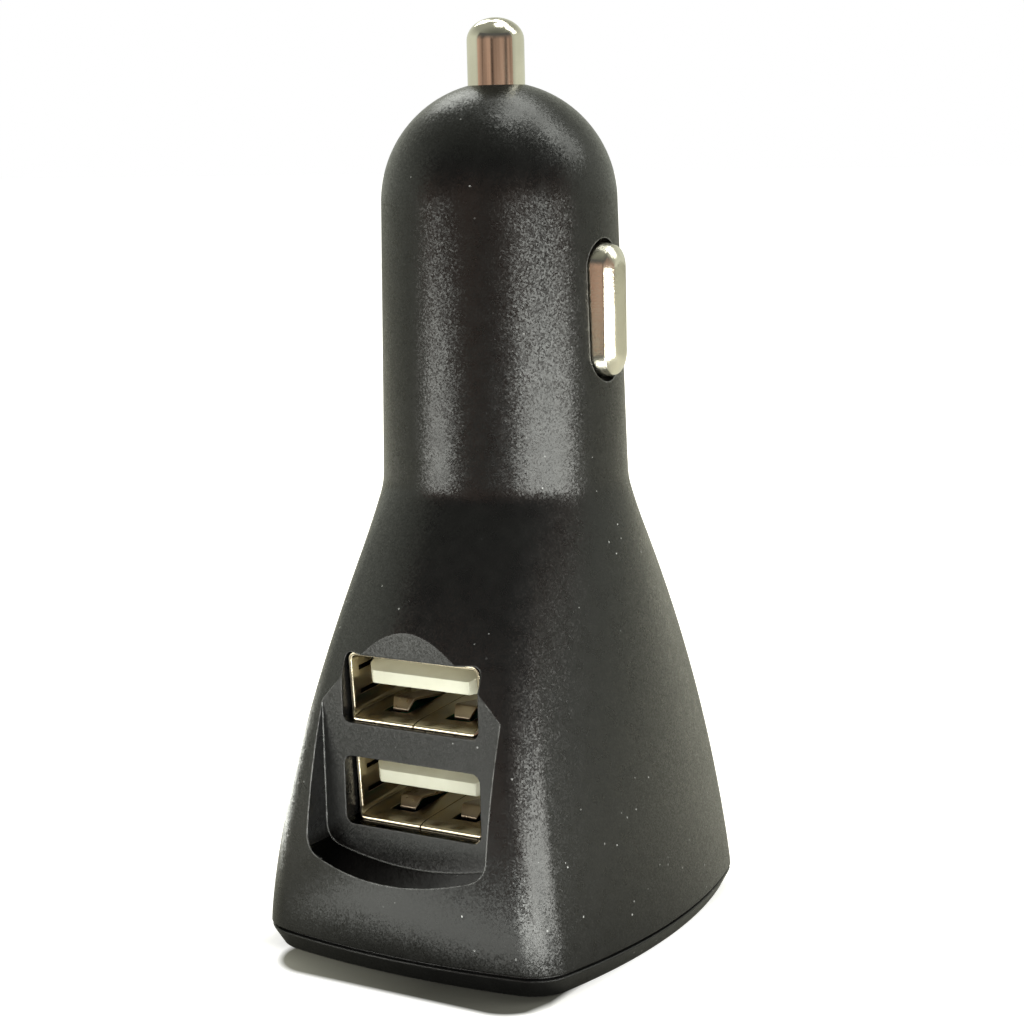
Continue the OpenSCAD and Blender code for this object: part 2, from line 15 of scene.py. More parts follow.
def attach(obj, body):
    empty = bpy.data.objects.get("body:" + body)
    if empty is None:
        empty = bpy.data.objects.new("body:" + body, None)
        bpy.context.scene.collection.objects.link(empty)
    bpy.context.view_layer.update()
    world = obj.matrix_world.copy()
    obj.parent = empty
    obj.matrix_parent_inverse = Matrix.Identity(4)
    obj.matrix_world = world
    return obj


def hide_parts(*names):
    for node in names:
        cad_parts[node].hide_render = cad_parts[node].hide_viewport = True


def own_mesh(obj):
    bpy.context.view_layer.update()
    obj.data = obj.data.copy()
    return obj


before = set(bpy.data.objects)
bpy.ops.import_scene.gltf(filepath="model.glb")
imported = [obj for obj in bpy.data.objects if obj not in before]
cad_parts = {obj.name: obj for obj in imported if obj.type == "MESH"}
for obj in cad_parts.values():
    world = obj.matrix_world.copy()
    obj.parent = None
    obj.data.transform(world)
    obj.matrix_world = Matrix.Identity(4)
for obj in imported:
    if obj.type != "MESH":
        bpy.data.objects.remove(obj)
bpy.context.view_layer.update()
MM = 0.001

# %% [markdown]
# The same named sizes as the CAD source, in millimetres. A plug like this is easiest to think of
# in its own upright frame: Z runs from the foot to the nose, and the ports look towards -Y.

# %% Sizes shared with the CAD source
NOSE_R = 10.15
ROOT_R = 10.7
ROOT_Z = 39.2
NOSE_Z = 63.3
WALL = 1.7
BASE_WIDTH = 33.9
BASE_DEPTH = 37.4
BASE_OFFSET = 1.4
CORNER_R = 3.9
SIDE_BOW = 1.9
FRONT_BOW = 1.0
SIDE_CURVE = 1.15
FRONT_CURVE = 1.85
BACK_CURVE = 2.35
FRONT_BULGE = 1.5
CAP_HEIGHT = 2.1
CAP_TAPER = 1.0
SEAM_GAP = 0.3
SEAM_DEPTH = 0.5
POCKET_Y = 16.25
POCKET_WIDTH = 18.0
POCKET_FOOT_Z = 8.3
POCKET_SAG_R = 29.0
POCKET_CORNER_R = 1.8
PORT_WIDTH = 13.1
PORT_HEIGHT = 5.72
PORT_SHEET = 0.3
PORT_DEPTH = 11.2
PORT_PITCH = 8.85
PORTS_Z = 19.1
PORTS_Y = 15.0
PORT_TILT = 4.0
WINDOW_GAP = 0.25
TONGUE_WIDTH = 11.1
TONGUE_TOP = PORT_HEIGHT / 2 - PORT_SHEET - 0.72
TONGUE_FOOT = TONGUE_TOP - 1.84
TONGUE_SETBACK = 0.9
PIN_R = 2.45
PIN_TIP_Z = 78.8
PIN_SHELF_Z = NOSE_Z + NOSE_R - WALL - 0.75
CONTACT_WIDTH = 4.55
CONTACT_LENGTH = 11.6
CONTACT_REACH = 11.8
CONTACT_Z = 54.25
SLOT_GAP = 0.23
SEAT_X = NOSE_R - WALL + 0.45

# %% [markdown]
# Most pieces are a skin over a row of rings, so one small class does the work: it starts from a
# circle, draws its edge loop out by extrusion, and sets each new loop where a function says.
# Lofting by hand in this way keeps clean quads, which bend light evenly on a glossy surface.

# %% A loft of rings
class Loft:
    def __init__(self, count, place):
        self.mesh = bmesh.new()
        made = bmesh.ops.create_circle(self.mesh, cap_ends=False, radius=1.0, segments=count)
        self.ring = list(made["verts"])
        self.first = list(self.ring)
        self.set(place)

    def set(self, place):
        for i, vert in enumerate(self.ring):
            vert.co = Vector(place(i)) * MM

    def edges(self, ring):
        inside = set(ring)
        return [e for v in ring for e in v.link_edges if e.other_vert(v) in inside and e.verts[0] == v]

    def to(self, place):
        old = {vert: i for i, vert in enumerate(self.ring)}
        grown = bmesh.ops.extrude_edge_only(self.mesh, edges=self.edges(self.ring))
        fresh = [g for g in grown["geom"] if isinstance(g, bmesh.types.BMVert)]
        ring = [None] * len(self.ring)
        for vert in fresh:
            for edge in vert.link_edges:
                other = edge.other_vert(vert)
                if other in old:
                    ring[old[other]] = vert
        self.ring = ring
        self.set(place)

    def solid(self, name):
        for end in (self.first, self.ring):
            bmesh.ops.holes_fill(self.mesh, edges=self.edges(end), sides=0)
        return finish_mesh(self.mesh, name)

    def tube(self, name):
        bmesh.ops.bridge_loops(self.mesh, edges=self.edges(self.first) + self.edges(self.ring))
        return finish_mesh(self.mesh, name)


def finish_mesh(mesh, name, sharp=30.0):
    bmesh.ops.recalc_face_normals(mesh, faces=mesh.faces)
    data = bpy.data.meshes.new(name)
    mesh.to_mesh(data)
    mesh.free()
    for polygon in data.polygons:
        polygon.use_smooth = True
    data.set_sharp_from_angle(angle=math.radians(sharp))
    piece = bpy.data.objects.new(name, data)
    bpy.context.scene.collection.objects.link(piece)
    return piece


def add_box(mesh, low, high):
    verts = bmesh.ops.create_cube(mesh, size=1.0)["verts"]
    bmesh.ops.scale(mesh, verts=verts, vec=Vector(high) - Vector(low))
    bmesh.ops.translate(mesh, verts=verts, vec=(Vector(high) + Vector(low)) / 2)


def cut(piece, cutters, sharp=30.0):
    for cutter in cutters:
        modifier = piece.modifiers.new("cut", "BOOLEAN")
        modifier.operation = "DIFFERENCE"
        modifier.solver = "EXACT"
        modifier.object = cutter
    depsgraph = bpy.context.evaluated_depsgraph_get()
    data = bpy.data.meshes.new_from_object(piece.evaluated_get(depsgraph))
    piece.modifiers.clear()
    piece.data = data
    data.set_sharp_from_angle(angle=math.radians(sharp))
    for cutter in cutters:
        bpy.data.objects.remove(cutter)
    print(piece.name, "has", len(data.polygons), "faces")


# %% [markdown]
# The handle's law: at the foot it is a bowed rectangle, at the root of the barrel a circle. Each
# ring mixes the two, and the sides, the port side and the back each have their own curve. The
# change from barrel to handle is softened over about a millimetre, as a mould maker would.

# %% The section at any height
SIDE_STEPS = 26
CORNER_STEPS = 14
RING_COUNT = 4 * (SIDE_STEPS + CORNER_STEPS)
SOFTENING = 0.6
FADE_START = 4
FADE_LENGTH = 6
BULGE_FOCUS = 7


def bowed_outline(half_x, half_y, corner):
    outline = []
    for quarter in range(4):
        even = quarter % 2 == 0
        bow = SIDE_BOW if even else FRONT_BOW
        next_bow = FRONT_BOW if even else SIDE_BOW
        centre = (half_x if even else half_y) - bow - corner
        half = (half_y if even else half_x) - next_bow - corner
        first = math.atan(2 * bow / half)
        last = math.pi / 2 - math.atan(2 * next_bow / centre)
        for i in range(SIDE_STEPS + CORNER_STEPS):
            s = min(1.0, 2.0 * i / SIDE_STEPS - 1.0)
            angle = math.atan(2 * bow * s / half)
            if i > SIDE_STEPS:
                angle = first + (last - first) * (i - SIDE_STEPS) / CORNER_STEPS
            point = Vector((centre + bow * (1 - s * s) + corner * math.cos(angle),
                            half * s + corner * math.sin(angle)))
            point.rotate(Matrix.Rotation(quarter * math.pi / 2, 2))
            outline.append(point)
    return outline


def section(inset=0.0, softening=SOFTENING):
    foot = bowed_outline(BASE_WIDTH / 2 - inset, BASE_DEPTH / 2 - inset, max(1.0, CORNER_R - inset))

    def at(z, shrink=0.0):
        below = ROOT_Z - z
        below = (below + math.sqrt(below * below + softening * softening)) / 2
        depth = min(1.0, below / (ROOT_Z - CAP_HEIGHT))
        if z > ROOT_Z + FADE_START:
            depth *= max(0.0, 1 - (z - ROOT_Z - FADE_START) / FADE_LENGTH)
        to_side = 1 - (1 - depth) ** SIDE_CURVE
        to_front = 1 - (1 - depth) ** FRONT_CURVE
        to_back = 1 - (1 - depth) ** BACK_CURVE
        if z > NOSE_Z:
            radius = math.sqrt(max(0.0, (NOSE_R - inset) ** 2 - (z - NOSE_Z) ** 2))
        else:
            radius = ROOT_R - inset - (ROOT_R - NOSE_R) * max(0.0, z - ROOT_Z) / (NOSE_Z - ROOT_Z)

        def place(i):
            point = foot[i]
            angle = math.atan2(point.y, point.x)
            to_end = to_front if point.y < 0 else to_back
            fullness = FRONT_BULGE * 4 * depth * (1 - depth) * max(0.0, -math.sin(angle)) ** BULGE_FOCUS
            x = radius * math.cos(angle) * (1 - to_side) + point.x * to_side
            y = radius * math.sin(angle) * (1 - to_end) + point.y * to_end
            return (x * (1 - shrink), (y - BASE_OFFSET * to_front - fullness) * (1 - shrink), z)
        return place
    return at


def spread(low, high, count):
    return [low + (high - low) * i / count for i in range(1, count + 1)]


# %% [markdown]
# The housing is a hollow shell, so the outside and the cavity are two lofts, and one is cut out
# of the other. A block behind the pocket keeps the wall there as thick as elsewhere. The pocket,
# two port windows, two contact slots and the pin's bore are then cut through, in that order.

# %% The housing's outside
outer = section()
housing_loft = Loft(RING_COUNT, outer(CAP_HEIGHT))
handle_heights = spread(CAP_HEIGHT, ROOT_Z - 3, 46)
root_heights = spread(ROOT_Z - 3, ROOT_Z + 4, 18)
barrel_heights = spread(ROOT_Z + 4, NOSE_Z, 12)
for z in handle_heights + root_heights + barrel_heights:
    housing_loft.to(outer(z))
for turn in spread(0, 78, 26):
    housing_loft.to(outer(NOSE_Z + NOSE_R * math.sin(math.radians(turn))))
housing = housing_loft.solid("housing")

# %% The cavity and the block behind the pocket
inner = section(WALL, 0.2)
cavity_loft = Loft(RING_COUNT, inner(CAP_HEIGHT - 1))
for z in spread(CAP_HEIGHT - 1, ROOT_Z, 18) + spread(ROOT_Z, NOSE_Z, 4):
    cavity_loft.to(inner(z))
for turn in spread(0, 80, 10):
    cavity_loft.to(inner(NOSE_Z + (NOSE_R - WALL) * math.sin(math.radians(turn))))
cavity = cavity_loft.solid("cavity")
backing_mesh = bmesh.new()
add_box(backing_mesh, Vector((-POCKET_WIDTH / 2 - WALL, -BASE_DEPTH, POCKET_FOOT_Z - WALL)) * MM,
        Vector((POCKET_WIDTH / 2 + WALL, -POCKET_Y + WALL, ROOT_Z - WALL)) * MM)
cut(cavity, [finish_mesh(backing_mesh, "backing")])

# %% [markdown]
# Each cutter is a flat outline pushed through the wall. The pocket has upright sides, round lower
# corners and a shallow arc for its foot. Its flat meets the bulging front in the curved edge
# above the ports, so that edge isn't drawn: it follows from the two surfaces.

# %% Cutters for the openings
def rounded(width, height, radius, steps):
    def point(i):
        quarter = i // steps
        angle = math.radians(90.0 * (quarter + (i % steps) / (steps - 1)))
        centre = Vector((width / 2 - radius, height / 2 - radius))
        signs = [(1, 1), (-1, 1), (-1, -1), (1, -1)][quarter]
        return (signs[0] * centre.x + radius * math.cos(angle),
                signs[1] * centre.y + radius * math.sin(angle))
    return point


def arc_points(x, z, radius, first, last, steps):
    return [(x + radius * math.cos(math.radians(first + (last - first) * i / steps)),
             z + radius * math.sin(math.radians(first + (last - first) * i / steps)))
            for i in range(steps + 1)]


def pocket_points():
    corner_x = POCKET_WIDTH / 2 - POCKET_CORNER_R
    centre_z = POCKET_FOOT_Z + POCKET_SAG_R
    reach = POCKET_SAG_R - POCKET_CORNER_R
    corner_z = centre_z - math.sqrt(reach * reach - corner_x * corner_x)
    lean = math.degrees(math.atan(corner_x / (centre_z - corner_z)))
    return ([(POCKET_WIDTH / 2, ROOT_Z), (-POCKET_WIDTH / 2, ROOT_Z)]
            + arc_points(-corner_x, corner_z, POCKET_CORNER_R, 180, 270 - lean, 10)
            + arc_points(0, centre_z, POCKET_SAG_R, 270 - lean, 270 + lean, 40)[1:-1]
            + arc_points(corner_x, corner_z, POCKET_CORNER_R, 270 + lean, 360, 10))


def in_port(side, x, y, z):
    tilt = Matrix.Rotation(math.radians(PORT_TILT), 3, "X")
    return tilt @ Vector((x, y, z + side * PORT_PITCH / 2)) + Vector((0, -PORTS_Y, PORTS_Z))


POCKET_DRAFT = 0.985
POCKET_LIFT = 0.1
outline = pocket_points()
pocket_loft = Loft(len(outline), lambda i: (outline[i][0], -POCKET_Y - 10, outline[i][1]))
pocket_loft.to(lambda i: (outline[i][0] * POCKET_DRAFT, -POCKET_Y, outline[i][1] + POCKET_LIFT))
openings = [pocket_loft.solid("pocket")]

PORT_CORNER_STEPS = 9
WINDOW_CORNER_R = 0.8
WINDOW_SHIFT = 0.05


def window_end(side, y):
    shape = rounded(PORT_WIDTH + 2 * WINDOW_GAP, PORT_HEIGHT + WINDOW_GAP, WINDOW_CORNER_R, PORT_CORNER_STEPS)
    return lambda i: in_port(side, shape(i)[0], y, shape(i)[1] - WINDOW_SHIFT)


for side in (-1, 1):
    window = Loft(4 * PORT_CORNER_STEPS, window_end(side, -3))
    window.to(window_end(side, WALL + 1))
    openings.append(window.solid("window"))

# The corner radius stays a micrometre under half the width, so that no edge has zero length.
STADIUM_STEPS = 17


def stadium(width, length, x, side):
    shape = rounded(width, length, width / 2 - 0.001, STADIUM_STEPS)
    return lambda i: (side * x, shape(i)[0], shape(i)[1] + CONTACT_Z)


slot_size = (CONTACT_WIDTH + 2 * SLOT_GAP, CONTACT_LENGTH + 2 * SLOT_GAP)
for side in (-1, 1):
    slot = Loft(4 * STADIUM_STEPS, stadium(*slot_size, SEAT_X - 1, side))
    slot.to(stadium(*slot_size, SEAT_X + 4, side))
    openings.append(slot.solid("slot"))

BORE_GAP = 0.05
BORE_STEPS = 64


def bore_ring(z):
    radius = PIN_R + BORE_GAP
    step = 2 * math.pi / BORE_STEPS
    return lambda i: (radius * math.cos(i * step), radius * math.sin(i * step), z)


bore = Loft(BORE_STEPS, bore_ring(PIN_SHELF_Z - 1))
bore.to(bore_ring(NOSE_Z + NOSE_R + 1))
openings.append(bore.solid("bore"))
cut(housing, [cavity] + openings, sharp=14)
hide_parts("body_shell")
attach(housing, "housing")

# %% [markdown]
# The end cap is a shallow tray pushed into the handle's foot. A dark gap of a third of a
# millimetre runs round under the handle, because the tray's rim stops short of it. The loft
# starts under the foot, rounds its edge, climbs to the rim and steps in to the skirt.

# %% End cap
rim = section()


def cap_ring(z, shrink):
    place = rim(CAP_HEIGHT)

    def at(i):
        x, y, _ = place(i)
        flat = Vector((x, y + BASE_OFFSET))
        flat = flat * (1 - shrink / flat.length)
        return (flat.x, flat.y - BASE_OFFSET, z)
    return at


SKIRT_OUTSIDE = WALL + 0.12
SKIRT_INSIDE = WALL + 1.32
SKIRT_TOP = CAP_HEIGHT + 3.2
SEAM_Z = CAP_HEIGHT - SEAM_GAP
foot_edge = [(0.03, CAP_TAPER + 0.12), (0.12, CAP_TAPER), (0.3, CAP_TAPER - 0.1)]
rim_edge = [(1.5, 0.16), (1.68, 0.08), (1.77, 0.16), (SEAM_Z, 0.28), (SEAM_Z, SEAM_DEPTH)]
skirt = [(CAP_HEIGHT, SEAM_DEPTH), (CAP_HEIGHT, SKIRT_OUTSIDE), (SKIRT_TOP, SKIRT_OUTSIDE),
         (SKIRT_TOP, SKIRT_INSIDE), (CAP_HEIGHT, SKIRT_INSIDE)]
cap_loft = Loft(RING_COUNT, cap_ring(0, CAP_TAPER + 0.3))
for z, shrink in foot_edge + rim_edge + skirt:
    cap_loft.to(cap_ring(z, shrink))
end_cap = cap_loft.solid("foot_cap")
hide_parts("end_cap")
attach(end_cap, "housing")

# %% [markdown]
# The pin is turned on a lathe, and spinning a profile does the same here. Its tip is a slightly
# flattened dome, the shank is straight, and the collar and tail stay inside the nose.

# %% Centre pin
COLLAR_R = 3.65
TAIL_R = 2.0
collar_foot = PIN_SHELF_Z - 1
tail_foot = PIN_SHELF_Z - 3.5
profile = [(0, tail_foot), (TAIL_R, tail_foot), (TAIL_R, collar_foot), (COLLAR_R, collar_foot),
           (COLLAR_R, PIN_SHELF_Z), (PIN_R, PIN_SHELF_Z)]
tip_height = PIN_R * 0.78
for turn in range(0, 91, 9):
    angle = math.radians(turn)
    profile.append((PIN_R * math.cos(angle), PIN_TIP_Z - tip_height + tip_height * math.sin(angle)))
pin_mesh = bmesh.new()
verts = [pin_mesh.verts.new((r * MM, 0, z * MM)) for r, z in profile]
for a, b in zip(verts, verts[1:]):
    pin_mesh.edges.new((a, b))
bmesh.ops.spin(pin_mesh, geom=list(pin_mesh.verts) + list(pin_mesh.edges), axis=(0, 0, 1), cent=(0, 0, 0),
               angle=2 * math.pi, steps=72, use_merge=True)
bmesh.ops.remove_doubles(pin_mesh, verts=pin_mesh.verts, dist=1e-7)
pin = finish_mesh(pin_mesh, "nose_pin")
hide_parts("center_pin")
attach(pin, "center_pin")

# %% [markdown]
# A side contact is drawn from thin sheet into a cup with an oval outline, leaning walls, a bevelled
# shoulder and a flat face, and its flange keeps it from falling out. Several close rings at each
# change of direction give the soft bends of pressed metal. The cup is hollow for its spring.

# %% Side contacts
CONTACT_SHEET = 0.45
CUP_FLOOR_X = 10.8
FLANGE_X = SEAT_X - 0.5
FLANGE_MARGIN = 0.8


def side_contact(side, name, node):
    def ring(less, x):
        return (CONTACT_WIDTH - less, CONTACT_LENGTH - less, x)

    cup = [(2 * CONTACT_SHEET, CUP_FLOOR_X), (2 * CONTACT_SHEET, FLANGE_X)]
    flange = [(-2 * FLANGE_MARGIN, FLANGE_X), (-2 * FLANGE_MARGIN, SEAT_X)]
    walls = [(0.0, SEAT_X), (0.0, 9.7), (0.66, 11.05), (0.72, 11.14), (0.82, 11.21), (0.98, 11.28)]
    shoulder = [(2.2, 11.6), (2.44, 11.67), (2.72, 11.73), (3.04, 11.775), (3.4, CONTACT_REACH)]
    rings = [ring(less, x) for less, x in cup + flange + walls + shoulder]
    rings.append((0.6, CONTACT_LENGTH - 4, CONTACT_REACH))
    loft = Loft(4 * STADIUM_STEPS, stadium(*rings[0], side))
    for size_and_place in rings[1:]:
        loft.to(stadium(*size_and_place, side))
    piece = loft.solid(name)
    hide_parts(node)
    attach(piece, node)
    return piece


contacts = [side_contact(1, "contact_button_right", "side_contact_right"),
            side_contact(-1, "contact_button_left", "side_contact_left")]

# %% [markdown]
# A USB-A socket is a folded box of thin plated steel. Its mouth is cut square, and its lower edge
# reaches forward and down a little to guide the plug in. Two spring fingers rise from the floor,
# two slits part each side wall, and the sheet's ends meet in a seam down the middle of the floor.

# %% USB shells
PORT_CORNER_R = 0.75
FINGER_X = 3.1
FINGER_GAP = 1.25
SLIT_HEIGHTS = (-0.95, 1.15)
SEAM_HALF_WIDTH = 0.07
LIP_REACH = 0.6
LIP_DROP = 0.17
LIP_DEPTH = 0.35


def port_ring(side, offset, y):
    outside = rounded(PORT_WIDTH, PORT_HEIGHT, PORT_CORNER_R, PORT_CORNER_STEPS)
    shape = rounded(PORT_WIDTH - 2 * offset, PORT_HEIGHT - 2 * offset, PORT_CORNER_R - offset * 0.8,
                    PORT_CORNER_STEPS)

    def at(i):
        x, z = shape(i)
        low = min(1.0, max(0.0, PORT_CORNER_R - PORT_HEIGHT / 2 - outside(i)[1]) / 0.7)
        lip = low * max(0.0, 1 - y / LIP_DEPTH)
        return in_port(side, x, y - LIP_REACH * lip, z - LIP_DROP * lip)
    return at


def port_shell(side, name):
    inner_wall = [(PORT_SHEET, 0.9), (PORT_SHEET, 0.42), (PORT_SHEET, 0.36), (PORT_SHEET, 0.1)]
    cut_edge = [(0.285, 0.04), (0.255, 0.01), (0.22, 0.0), (0.06, 0.0), (0.025, 0.01)]
    outer_wall = [(0, 0.06), (0, 0.36), (0, 0.42), (0, 0.9), (0, PORT_DEPTH)]
    loft = Loft(4 * PORT_CORNER_STEPS, port_ring(side, PORT_SHEET, PORT_DEPTH))
    for offset, y in inner_wall + cut_edge + outer_wall:
        loft.to(port_ring(side, offset, y))
    shell = loft.tube(name)
    holes = []
    for x in (-FINGER_X, FINGER_X):
        holes.append(port_block(side, (x - FINGER_GAP, 1.4, -PORT_HEIGHT), (x + FINGER_GAP, 8.4, -1)))
    for x in (-PORT_WIDTH / 2, PORT_WIDTH / 2):
        for z in SLIT_HEIGHTS:
            holes.append(port_block(side, (x - 1, 1, z - 0.2), (x + 1, 8, z + 0.2)))
    holes.append(port_block(side, (-SEAM_HALF_WIDTH, -1, -PORT_HEIGHT),
                            (SEAM_HALF_WIDTH, PORT_DEPTH + 1, -1)))
    cut(shell, holes, sharp=35)
    return shell


def port_block(side, low, high):
    mesh = bmesh.new()
    add_box(mesh, low, high)
    for vert in mesh.verts:
        vert.co = in_port(side, *vert.co) * MM
    return finish_mesh(mesh, "hole")


FINGER_SHEET = 0.22


def floor_finger(mesh, side, middle):
    floor = -PORT_HEIGHT / 2
    path = [(8.5, 0.0, 1.05), (7.9, 0.04, 1.05), (3.6, 0.86, 1.05), (3.2, 0.93, 1.05), (2.9, 0.92, 1.05),
            (2.75, 0.82, 1.0), (2.2, 0.12, 0.75)]
    rings = []
    for y, rise, half in path:
        corners = [(-half, rise), (half, rise), (half, rise + FINGER_SHEET), (-half, rise + FINGER_SHEET)]
        rings.append([mesh.verts.new(in_port(side, middle + x, y, floor + z) * MM) for x, z in corners])
    for a, b in zip(rings, rings[1:]):
        for i in range(4):
            mesh.faces.new((a[i], a[(i + 1) % 4], b[(i + 1) % 4], b[i]))
    mesh.faces.new(rings[0])
    mesh.faces.new(rings[-1][::-1])


def fingers(side, name):
    mesh = bmesh.new()
    for middle in (-FINGER_X, FINGER_X):
        floor_finger(mesh, side, middle)
    sharp = [e for e in mesh.edges if len(e.link_faces) == 2 and e.calc_face_angle() > 0.9]
    bmesh.ops.bevel(mesh, geom=sharp, offset=0.05 * MM, segments=2, profile=0.5, affect="EDGES", material=-1)
    return finish_mesh(mesh, name)


shells = []
for side, level in ((1, "upper"), (-1, "lower")):
    node = "usb_shell_" + level
    for piece in (port_shell(side, "port_shell_" + level), fingers(side, "port_fingers_" + level)):
        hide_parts(node)
        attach(piece, "housing")
        shells.append(piece)

# %% [markdown]
# The tongue carries the contact strips under it. It is moulded from off-white nylon with a long
# bevel along its upper front edge and cut corners, which lead the plug in. Slicing a box with three
# planes gives this shape, and a last tiny bevel takes the hardness off every edge.

# %% Tongues
TONGUE_CORNER = 0.75
TONGUE_BEVEL = 0.72
BLOCK_GAP = 0.05


def slice_off(mesh, point, outwards):
    bmesh.ops.bisect_plane(mesh, geom=list(mesh.verts) + list(mesh.edges) + list(mesh.faces), dist=1e-6,
                           plane_co=point, plane_no=outwards, clear_outer=True)
    bmesh.ops.holes_fill(mesh, edges=mesh.edges, sides=0)


def tongue(side, name):
    mesh = bmesh.new()
    add_box(mesh, (-TONGUE_WIDTH / 2, TONGUE_SETBACK, TONGUE_FOOT),
            (TONGUE_WIDTH / 2, PORT_DEPTH - 2.6, TONGUE_TOP))
    for corner in (-1, 1):
        slice_off(mesh, (corner * (TONGUE_WIDTH / 2 - TONGUE_CORNER), TONGUE_SETBACK, 0),
                  (corner * TONGUE_CORNER, -0.65, 0))
    slice_off(mesh, (0, TONGUE_SETBACK, TONGUE_TOP - TONGUE_BEVEL), (0, -TONGUE_BEVEL, 1.7))
    bmesh.ops.bevel(mesh, geom=mesh.edges, offset=0.07, segments=2, profile=0.5, affect="EDGES", material=-1)
    half_width = PORT_WIDTH / 2 - PORT_SHEET - BLOCK_GAP
    half_height = PORT_HEIGHT / 2 - PORT_SHEET - BLOCK_GAP
    add_box(mesh, (-half_width, PORT_DEPTH - 2.75, -half_height),
            (half_width, PORT_DEPTH - 0.05, half_height))
    for vert in mesh.verts:
        vert.co = in_port(side, *vert.co) * MM
    return finish_mesh(mesh, name)


tongues = []
for side, level in ((1, "upper"), (-1, "lower")):
    piece = tongue(side, "tongue_" + level)
    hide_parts("usb_insulator_" + level)
    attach(piece, "housing")
    tongues.append(piece)

# %% [markdown]
# The three coil springs keep the shape of their CAD solids at rest. Each is a copy with a mesh of
# its own, carried by the housing.


def spring(name, node):
    piece = bpy.data.objects.new(name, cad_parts[node].data.copy())
    bpy.context.scene.collection.objects.link(piece)
    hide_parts(node)
    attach(piece, "housing")
    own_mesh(piece)
    return piece


springs = [
    spring("nose_spring", "pin_spring"),
    spring("spring_right", "side_spring_right"),
    spring("spring_left", "side_spring_left"),
]

# %% [markdown]
# Shader maths reads best as plain formulas. Value wraps a socket so that + - * < > on it add Math
# nodes, and Finish holds one material with a method that adds any node and short names for the
# nodes that are used most.

# %% Shader helpers
class Value:
    def __init__(self, finish, socket):
        self.finish = finish
        self.socket = socket

    def maths(self, operation, *others):
        return self.finish.node("ShaderNodeMath", {"operation": operation}, dict(enumerate((self,) + others)))

    def __add__(self, other):
        return self.maths("ADD", other)

    def __mul__(self, other):
        return self.maths("MULTIPLY", other)

    def __sub__(self, other):
        return self.maths("SUBTRACT", other)

    def __rsub__(self, other):
        return self.finish.node("ShaderNodeMath", {"operation": "SUBTRACT"}, {0: other, 1: self})

    def __gt__(self, other):
        return self.maths("GREATER_THAN", other)

    def __lt__(self, other):
        return self.maths("LESS_THAN", other)

    __rmul__ = __mul__


class Finish:
    def __init__(self, name):
        self.material = bpy.data.materials.new(name)
        self.material.use_nodes = True
        self.tree = self.material.node_tree
        self.tree.nodes.clear()
        self.place = self.node("ShaderNodeTexCoord", {}, {}, "Object")

    def node(self, kind, settings, inputs, output=0):
        node = self.tree.nodes.new(kind)
        for name, value in settings.items():
            setattr(node, name, value)
        for name, value in inputs.items():
            if isinstance(value, Value):
                self.tree.links.new(value.socket, node.inputs[name])
            else:
                node.inputs[name].default_value = value
        return Value(self, node.outputs[output])

    def noise(self, scale, detail=2.0, place=None):
        inputs = {"Vector": place or self.place, "Scale": scale, "Detail": detail}
        return self.node("ShaderNodeTexNoise", {}, inputs)

    def cells(self, scale, output):
        return self.node("ShaderNodeTexVoronoi", {}, {"Vector": self.place, "Scale": scale}, output)

    def ramp(self, value, low, high, bottom=0.0, top=1.0):
        return self.node("ShaderNodeMapRange", {}, {"Value": value, "From Min": low, "From Max": high,
                                                    "To Min": bottom, "To Max": top})

    def vector(self, operation, *operands, output=0):
        return self.node("ShaderNodeVectorMath", {"operation": operation}, dict(enumerate(operands)), output)

    def part(self, vector, axis):
        return self.node("ShaderNodeSeparateXYZ", {}, {"Vector": vector}, axis)

    def red(self, color):
        return self.node("ShaderNodeSeparateColor", {}, {"Color": color})

    def mix(self, factor, first, second):
        return self.node("ShaderNodeMix", {"data_type": "RGBA"}, {0: factor, 6: first, 7: second}, 2)

    def bump(self, height, strength, distance, normal=None):
        inputs = {"Height": height, "Strength": strength, "Distance": distance}
        if normal:
            inputs["Normal"] = normal
        return self.node("ShaderNodeBump", {}, inputs)

    def rounded_edges(self, radius):
        return self.node("ShaderNodeBevel", {"samples": 6}, {"Radius": radius})

    def edge_mask(self, soft_normal, true_normal, start, full):
        turned = self.vector("DOT_PRODUCT", soft_normal, true_normal, output="Value")
        return self.ramp(turned, start, full)

    def surface(self, **inputs):
        sockets = {name.replace("_", " "): value for name, value in inputs.items()}
        shader = self.node("ShaderNodeBsdfPrincipled", {}, sockets)
        output = self.tree.nodes.new("ShaderNodeOutputMaterial")
        self.tree.links.new(shader.socket, output.inputs["Surface"])
        return self.material


def grey(level):
    return (level, level, level, 1.0)


def brighter(color, factor):
    return [min(1.0, channel * factor) for channel in color[:3]] + [1.0]


# %% [markdown]
# The housing is black plastic from a spark-eroded mould. Its grains, about a tenth of a millimetre
# wide, are drawn as small facets that lean at random and break the highlights into sparkle. Where
# the Bevel node turns the normal there is an edge, and edges get a painted highlight: a paler grey
# in the base colour. Specks of dust lie in loose clusters, so their mask takes only some random
# cells. The flat of the pocket is speckled, and its bottom, which faces up, is smooth and painted
# black as shade.

# %% Black plastic
GRAIN_CELLS = 8500.0
DUST_CELLS = 850.0
DUST_SHARE = 0.4
DUST_SIZE = 0.075
EDGE_RADIUS = 0.18 * MM
EDGE_HIGHLIGHT_GREY = 0.19
DUST_GREY = 0.3
EDGE_HIGHLIGHT_ABOVE = 4 * MM
PORTS_HALF_WIDTH = 7.4 * MM
PORTS_BOTTOM = 10.9 * MM
PORTS_TOP = 29 * MM
POCKET_BOTTOM_TOP = 14 * MM


